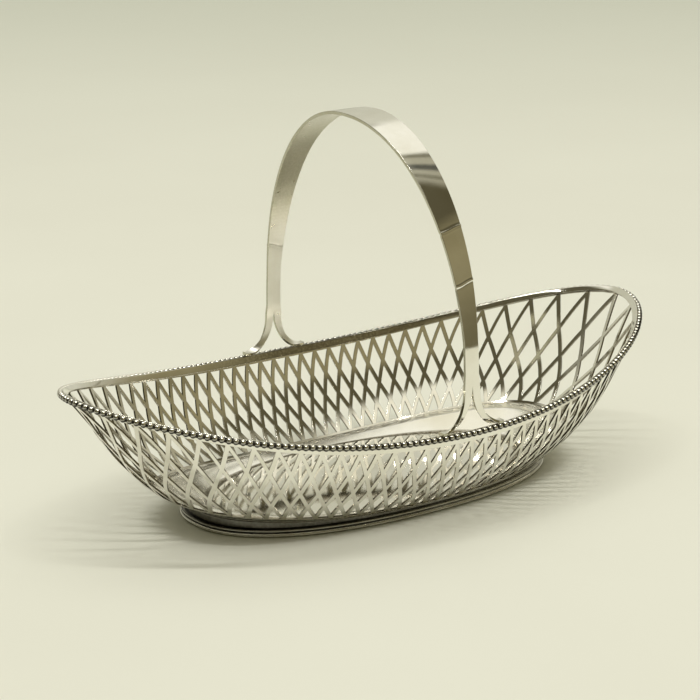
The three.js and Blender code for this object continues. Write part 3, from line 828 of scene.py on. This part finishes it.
HALF_SPAN, SPRING, ARCH_RISE, ARCH_EXPONENT = 82.8, 75, 112, 2.08
LEAN, LEAN_FOOT, LEAN_POWER = 5.7, 50, 2.8
THICKNESS, CROWN_WIDTH, LEG_WIDTH, TAPER = 1.6, 19.8, 7.9, 138
FORK_HEIGHT, FORK_WIDTH = 70, 9.0
REACH, PRONG_WIDTH, PRONG_STEPS = 14, 3.0, 24
TOE_LENGTH, TOE_WIDTH, TOE_THICKNESS = 1.5, 3.6, 1.4
TOE_UNDERSIDE = RIM["middle"] + BEAD_RADIUS + 0.05
STRAP_LINES = 9
STRAP_STATIONS = 160
# Slight kinks across the old strap: how far along it from the near spring, and how deep
CREASES = ((44.3, 0.36), (69.9, 0.33), (279.0, 0.26))
CREASE_WIDTH, CREASE_SHIFT, CREASE_REACH, CREASE_STEP = 0.8, 1.3, 3.6, 0.2
# The face is sunk a little so that it stays inside the solid, crowned, and dented in waves, which
# go by radians for each millimetre
FACE_SINK, FACE_CROWN, CREASE_SINK, CREASE_SLANT = 0.08, 0.12, 0.3, 2.6
DENT_DEPTH, DENT_WAVES = 0.05, (0.15, 0.035)
SLANT_DEPTH, SLANT_WAVE = 0.06, 0.09
# How finely the arch is worked out, and how far ahead and back its directions are taken
ARCH_STEPS, CLOSEST_STATIONS, AHEAD = 1600, 0.05, 1
# The kinds of face, how dark the inner ones are by height and the cut ones, whose darkening is painted shade,
# and how dull each is
OUTSIDE, INSIDE, CUT = 0, 1, 2
INSIDE_DARKENING = ((70, 100, 115, 130, 150, 175, 190), (0.0, 0.05, 0.25, 0.62, 0.68, 0.5, 0.35))
CUT_DARK = 0.6
UNPOLISHED = (0.0, 1.0, 0.3)


def lean(height):
    climb = np.maximum(height - LEAN_FOOT, 0) / (SPRING + ARCH_RISE - LEAN_FOOT)
    return LEAN * climb**LEAN_POWER


def strap_arch():
    """Points, directions and runs of the strap's outer face, from the near spring to the far one."""
    angle = np.linspace(0, math.pi, ARCH_STEPS + 1)
    power = 2 / ARCH_EXPONENT
    y = -np.sign(np.cos(angle)) * HALF_SPAN * np.abs(np.cos(angle)) ** power
    z = SPRING + ARCH_RISE * np.maximum(np.sin(angle), 0) ** power
    y = y + lean(z)
    runs = np.concatenate([[0], np.cumsum(np.hypot(np.diff(y), np.diff(z)))])
    even = np.linspace(0, runs[-1], STRAP_STATIONS + 1)
    near_creases = [at + np.arange(-CREASE_REACH, CREASE_REACH, CREASE_STEP) for at, _ in CREASES]
    wanted = np.unique(np.concatenate([even, *near_creases]).round(3))
    wanted = wanted[np.concatenate([[True], np.diff(wanted) > CLOSEST_STATIONS])]

    def place(at):
        return np.stack([np.zeros(len(at)), np.interp(at, runs, y), np.interp(at, runs, z)], axis=1)

    along = place(np.minimum(wanted + AHEAD, runs[-1])) - place(np.maximum(wanted - AHEAD, 0))
    along /= np.linalg.norm(along, axis=1)[:, None]
    along[0], along[-1] = (0, 0, 1), (0, 0, -1)
    return place(wanted), along, wanted, runs[-1] / 2


def prong_sections(reach):
    depth = FORK_HEIGHT - TOE_UNDERSIDE - TOE_THICKNESS / 2
    face_y = -HALF_SPAN + THICKNESS / 2
    sections = []
    for i in range(1, PRONG_STEPS + 2):
        share = min(i / PRONG_STEPS, 1)
        bend = share * math.pi / 2
        x = FORK_WIDTH / 4 + REACH * (1 - math.cos(bend)) + (TOE_LENGTH if i > PRONG_STEPS else 0)
        z = FORK_HEIGHT - depth * math.sin(bend)
        run = np.array([REACH * math.sin(bend), -depth * math.cos(bend)])
        run /= np.linalg.norm(run)
        narrowed = mix(FORK_WIDTH / 2, PRONG_WIDTH, min(share * 2, 1))
        width = mix(narrowed, TOE_WIDTH, max(share * 2 - 1, 0))
        thickness = mix(THICKNESS, TOE_THICKNESS, share)
        twist = share**2 * math.pi / 2
        square = np.array([-run[1], 0, run[0]])
        outward = np.array([0, -1.0, 0])
        across = square * math.cos(twist) + outward * math.sin(twist)
        face = outward * math.cos(twist) - square * math.sin(twist)
        centre = np.array([x, face_y, z])
        section = [
            centre + across * (side * width / 2) + face * (level * thickness / 2)
            for side, level in ((-1, 1), (-1, -1), (1, -1), (1, 1))
        ]
        sections.append([p * np.array([reach, 1, 1]) for p in section])
    return sections


def raised_face(share, width, at=None):
    """How far the strap's face is raised at a share of its width: crowned, dented and creased."""
    raised = -FACE_SINK - FACE_CROWN * (2 * share) ** 2 * min(width / CROWN_WIDTH, 1)
    if at is not None:
        raised += DENT_DEPTH * math.sin(at * DENT_WAVES[0] + 0.5) * math.sin(at * DENT_WAVES[1])
        raised += SLANT_DEPTH * share * math.sin(at * SLANT_WAVE + 1.0)
        for place, depth in CREASES:
            away = at - place - CREASE_SHIFT * math.sin(CREASE_SLANT * share)
            raised += depth * (math.exp(-((away / CREASE_WIDTH) ** 2)) - CREASE_SINK)
    return raised


def strap_section(centre, outward, width, at=None):
    """Pairs of points on the outer and the inner face, across the strap."""
    found = []
    for share in np.linspace(-0.5, 0.5, STRAP_LINES):
        outer = centre + np.array([share * width, 0, 0]) + outward * raised_face(share, width, at)
        found.append((outer, outer - outward * THICKNESS))
    return found


def strap_sections():
    """The strap's sections, from the fork at the near end to the fork at the far end."""
    points, along, run, half = strap_arch()
    found = [strap_section(np.array([0, -HALF_SPAN, FORK_HEIGHT]), np.array([0, -1.0, 0]), FORK_WIDTH)]
    for k in range(len(run)):
        outward = np.array([0, -along[k][2], along[k][1]])
        width = mix(LEG_WIDTH, CROWN_WIDTH, max(1 - abs(run[k] - half) / TAPER, 0))
        found.append(strap_section(points[k], outward, width, run[k]))
    found.append(strap_section(np.array([0, HALF_SPAN, FORK_HEIGHT]), np.array([0, 1.0, 0]), FORK_WIDTH))
    return found


class Strap:
    """The strap's points and faces, and the kind of each face."""

    def __init__(self):
        self.verts, self.faces, self.kinds = [], [], []

    def add(self, point):
        self.verts.append(point)
        return len(self.verts) - 1

    def face(self, corners, kind, turned=False):
        self.faces.append(corners[::-1] if turned else corners)
        self.kinds.append(kind)

    def join(self, here, there):
        """The faces between two sections."""
        last = STRAP_LINES - 1
        for k in range(last):
            self.face((here[k][0], here[k + 1][0], there[k + 1][0], there[k][0]), OUTSIDE)
            self.face((here[k + 1][1], here[k][1], there[k][1], there[k + 1][1]), INSIDE)
        self.face((here[0][1], here[0][0], there[0][0], there[0][1]), CUT)
        self.face((here[last][0], here[last][1], there[last][1], there[last][0]), CUT)

    def prong(self, leg, side, reach):
        """One prong of a leg's fork; side is -1 for the near leg, and reach -1 for the left prong."""
        middle, last = (STRAP_LINES - 1) // 2, STRAP_LINES - 1
        lines = range(middle, -1, -1) if reach == -1 else range(middle, last + 1)
        outer, inner = [leg[k][0] for k in lines], [leg[k][1] for k in lines]
        turned = side * reach == 1
        shares = np.linspace(0, 1, len(lines))
        for found in prong_sections(reach):
            split_outer, split_inner, far_inner, far_outer = (p * np.array([1, -side, 1]) for p in found)
            next_outer = [self.add(mix(split_outer, far_outer, t)) for t in shares]
            next_inner = [self.add(mix(split_inner, far_inner, t)) for t in shares]
            for k in range(len(lines) - 1):
                self.face((outer[k + 1], outer[k], next_outer[k], next_outer[k + 1]), OUTSIDE, turned)
                self.face((inner[k], inner[k + 1], next_inner[k + 1], next_inner[k]), INSIDE, turned)
            self.face((outer[0], inner[0], next_inner[0], next_outer[0]), CUT, turned)
            self.face((inner[-1], outer[-1], next_outer[-1], next_inner[-1]), CUT, turned)
            outer, inner = next_outer, next_inner
        self.face(outer + inner[::-1], CUT, turned)


def handle_strap():
    strap = Strap()
    index = [[(strap.add(outer), strap.add(inner)) for outer, inner in found] for found in strap_sections()]
    for here, there in zip(index, index[1:]):
        strap.join(here, there)
    for side, leg in ((-1, index[0]), (1, index[-1])):
        for reach in (-1, 1):
            strap.prong(leg, side, reach)
    verts, faces, kinds = strap.verts, strap.faces, np.array(strap.kinds)
    piece = make_piece("strap", verts, faces, handle_silver, ["handle_strap"])
    heights = np.array([np.mean([verts[i][2] for i in face]) for face in faces])
    dark = (np.zeros(len(kinds)), np.interp(heights, *INSIDE_DARKENING), np.full(len(kinds), CUT_DARK))
    store(piece, "corner", np.choose(kinds, dark), "FACE")
    store(piece, "unpolished", np.choose(kinds, UNPOLISHED), "FACE")
    round_edges(piece, width=0.22, angle=40)


pierced_side()
bead_wire("near")
bead_wire("far")
rim_wire()
floor_pan()
foot_band()
foot_wire()
handle_strap()


# Table, camera, lights and world

# The table's round front faces the camera
TABLE_TURN = math.radians(35.7)
TABLE_FRONT, TABLE_BACK, FRONT_STEPS = 0.74, 6.0, 96
CARD_DARK, CARD_LIGHT, CARD_FAR_SHADED = (0.765, 0.765, 0.69), (0.785, 0.787, 0.712), (0.70, 0.725, 0.645)
# How far behind the basket, in metres, the painted shade on the card starts and is whole
CARD_SHADE_SPAN = (0.5, 2.2)


def floor_material():
    material = bpy.data.materials.new("pale card")
    graph = Graph(material)
    shader = graph.nodes["Principled BSDF"]
    shader.inputs["Roughness"].default_value = 0.85
    shader.inputs["Specular IOR Level"].default_value = 0.15
    place = graph.coordinates("Object")
    card = graph.ramp(graph.noise(place, 3.0, 3), [(0.35, CARD_DARK), (0.65, CARD_LIGHT)])
    # Painted shade: it is a little greyer and greener far behind the basket
    behind = graph.separate(graph.turned(place, (0, 0, TABLE_TURN)))[1]
    far = graph.fit(behind, CARD_SHADE_SPAN, smooth=True)
    graph.feed(shader.inputs["Base Color"], graph.mix(far, card, CARD_FAR_SHADED))
    return material


def floor():
    """A table top: wide behind the basket, and ending in a round front edge before it."""
    turn = np.linspace(math.pi, 2 * math.pi, FRONT_STEPS + 1) - TABLE_TURN
    outline = [(TABLE_FRONT * math.cos(t), TABLE_FRONT * math.sin(t)) for t in turn]
    right_end, left_end = np.array(outline[-1]), np.array(outline[0])
    along = (right_end - left_end) / np.linalg.norm(right_end - left_end)
    behind = np.array([-along[1], along[0]])
    far = [right_end + along * TABLE_BACK, right_end + along * TABLE_BACK + behind * TABLE_BACK]
    far += [left_end - along * TABLE_BACK + behind * TABLE_BACK, left_end - along * TABLE_BACK]
    outline += [tuple(p) for p in far]
    mesh = bpy.data.meshes.new("table top")
    mesh.from_pydata([(x, y, 0) for x, y in outline], [], [list(range(len(outline)))])
    mesh.update()
    plane = bpy.data.objects.new("table top", mesh)
    bpy.context.scene.collection.objects.link(plane)
    mesh.materials.append(floor_material())


floor()

# The camera that was fitted to the photo: angles, and places in millimetres from the origin
AZIMUTH, ELEVATION, ROLL = math.radians(-35.693), math.radians(16.172), math.radians(-0.207)
DISTANCE, SIDEWAYS, UPWARDS = 1167.16, -8.503, 66.346
FOCAL_PIXELS, PICTURE_PIXELS, SENSOR = 2351.6, 700, 36
back = Vector((
    math.sin(AZIMUTH) * math.cos(ELEVATION),
    -math.cos(AZIMUTH) * math.cos(ELEVATION),
    math.sin(ELEVATION),
))
right = Vector((math.cos(AZIMUTH), math.sin(AZIMUTH), 0))
over = back.cross(right)
right_turned = right * math.cos(ROLL) + over * math.sin(ROLL)
over_turned = over * math.cos(ROLL) - right * math.sin(ROLL)


def camera():
    data = bpy.data.cameras.new("camera")
    data.sensor_width = SENSOR
    data.lens = FOCAL_PIXELS * SENSOR / PICTURE_PIXELS
    data.clip_start, data.clip_end = 0.05, 50
    made = bpy.data.objects.new("camera", data)
    bpy.context.scene.collection.objects.link(made)
    at = (back * DISTANCE + right_turned * SIDEWAYS + over_turned * UPWARDS) * MM
    turn = Matrix((right_turned, over_turned, back)).transposed().to_4x4()
    made.matrix_world = Matrix.Translation(at) @ turn
    bpy.context.scene.camera = made


camera()

WARM_WHITE = (1.0, 0.99, 0.93)


def lamp(name, place, target, length, width, power):
    """A rectangular lamp whose length runs left and right in the picture."""
    data = bpy.data.lights.new(name, "AREA")
    data.shape = "RECTANGLE"
    data.size, data.size_y = length, width
    data.energy = power
    data.color = WARM_WHITE
    made = bpy.data.objects.new(name, data)
    bpy.context.scene.collection.objects.link(made)
    down = (Vector(target) - Vector(place)).normalized()
    x = (right - down * right.dot(down)).normalized()
    y = (-down).cross(x)
    made.matrix_world = Matrix.Translation(Vector(place)) @ Matrix((x, y, -down)).transposed().to_4x4()
    return made


lamp("tube over the table", (-0.15, -0.2, 4.0), (0, 0, 0), 3.2, 0.2, 50)
soft = lamp("soft lamp", (-0.1, -0.35, 2.8), (-0.1, -0.35, 0), 4.6, 3.8, 41)
soft.visible_glossy = False


def elevation(degrees):
    return math.sin(math.radians(degrees))


class Sky(Graph):
    """The room round the table, laid over a base colour one soft-edged patch at a time."""

    def __init__(self, owner):
        super().__init__(owner)
        self.x, self.y, self.height = self.separate(self.coordinates("Generated"))
        self.colour = None

    def bearing(self, centre):
        """How far a direction is from a bearing, in degrees; bearing 0 is -Y and 90 is +X."""
        turn = math.radians(centre)
        towards_x, towards_y = math.sin(turn), -math.cos(turn)

        def times(value, factor):
            return self.math("MULTIPLY", value, factor)

        ahead = self.math("ADD", times(self.x, towards_x), times(self.y, towards_y))
        aside = self.math("SUBTRACT", times(self.y, towards_x), times(self.x, towards_y))
        return self.math("DEGREES", self.math("ARCTAN2", self.math("ABSOLUTE", aside), ahead))

    def fade(self, value, start, end):
        """1 before start and 0 after end, or the other way round where start is the larger."""
        span = (min(start, end), max(start, end))
        return self.fit(value, span, (1.0, 0.0) if start < end else (0.0, 1.0), smooth=True)

    def lay(self, colour, heights=None, bearings=None, within=None):
        """Lay a colour where all the given limits allow it, and return the mask.

        Heights are where the colour is still whole and where it has gone, in degrees. Bearings
        are a middle one and then the same two limits, as degrees away from it.
        """
        masks = [] if within is None else [within]
        if heights:
            masks.append(self.fade(self.height, *(elevation(degrees) for degrees in heights)))
        if bearings:
            centre, *limits = bearings
            masks.append(self.fade(self.bearing(centre), *limits))
        mask = masks[0]
        for other in masks[1:]:
            mask = self.math("MULTIPLY", mask, other)
        self.colour = self.mix(mask, self.colour, colour)
        return mask


# The room by height, in degrees above the horizon: a dim olive brown
ROOM_LOWEST, ROOM_HIGHEST = -30, 60
ROOM_LIGHT = (
    (-30, 0.10), (-7, 0.13), (2, 0.15), (12, 0.21), (25, 0.25), (33, 0.22), (39, 0.085), (60, 0.09)
)
ROOM_COLOUR = (1.13, 0.99, 0.55)
CEILING = (0.93, 0.90, 0.75)
STRIPE, DARK_STRIPE = (0.2, 0.19, 0.13), (0.1, 0.1, 0.08)
# Stripes down the lit wall: their bearings, half their widths and their colours
STRIPES = ((95, 1.5, STRIPE), (82, 2, DARK_STRIPE), (73, 0.8, STRIPE))
STRIPE_EDGE = 1.5
BEYOND_TABLE = (0.76, 0.75, 0.60)


def world():
    made = bpy.data.worlds.new("room")
    bpy.context.scene.world = made
    sky = Sky(made)

    bottom, top = elevation(ROOM_LOWEST), elevation(ROOM_HIGHEST)
    stops = [
        ((elevation(degrees) - bottom) / (top - bottom), tuple(part * light for part in ROOM_COLOUR))
        for degrees, light in ROOM_LIGHT
    ]
    sky.colour = sky.ramp(sky.fit(sky.height, (bottom, top)), stops)

    # The left and the near side are darker still
    sky.lay((0.10, 0.09, 0.055), bearings=(-110, 60, 110))
    # The pale sweep behind the basket
    sky.lay((0.64, 0.63, 0.52), (36, 40), (152, 22, 84))
    # The lit wall high at the right, with its stripes
    lit_wall = sky.lay((0.42, 0.40, 0.30), (47, 43), (88, 16, 24))
    for centre, half, colour in STRIPES:
        sky.lay(colour, bearings=(centre, half, half + STRIPE_EDGE), within=lit_wall)
    # A duller part of the sweep, and the ceiling, which is brightest over that part
    sky.lay((0.56, 0.55, 0.44), (58, 62), (172, 24, 34))
    sky.lay((0.97, 0.95, 0.85), (51, 46), (165, 26, 32))
    sky.lay(CEILING, (59, 54), (75, 95, 118))
    sky.lay(CEILING, (72, 66))
    # A bright window high behind the right
    sky.lay((0.97, 0.95, 0.83), (40, 27), (116, 15, 21))

    # What the camera sees beyond the table is plain
    camera_ray = sky.nodes.new("ShaderNodeLightPath").outputs["Is Camera Ray"]
    shown = sky.mix(camera_ray, sky.colour, BEYOND_TABLE)
    sky.feed(sky.nodes["Background"].inputs["Color"], shown)


world()

bpy.context.scene.view_settings.view_transform = "Standard"
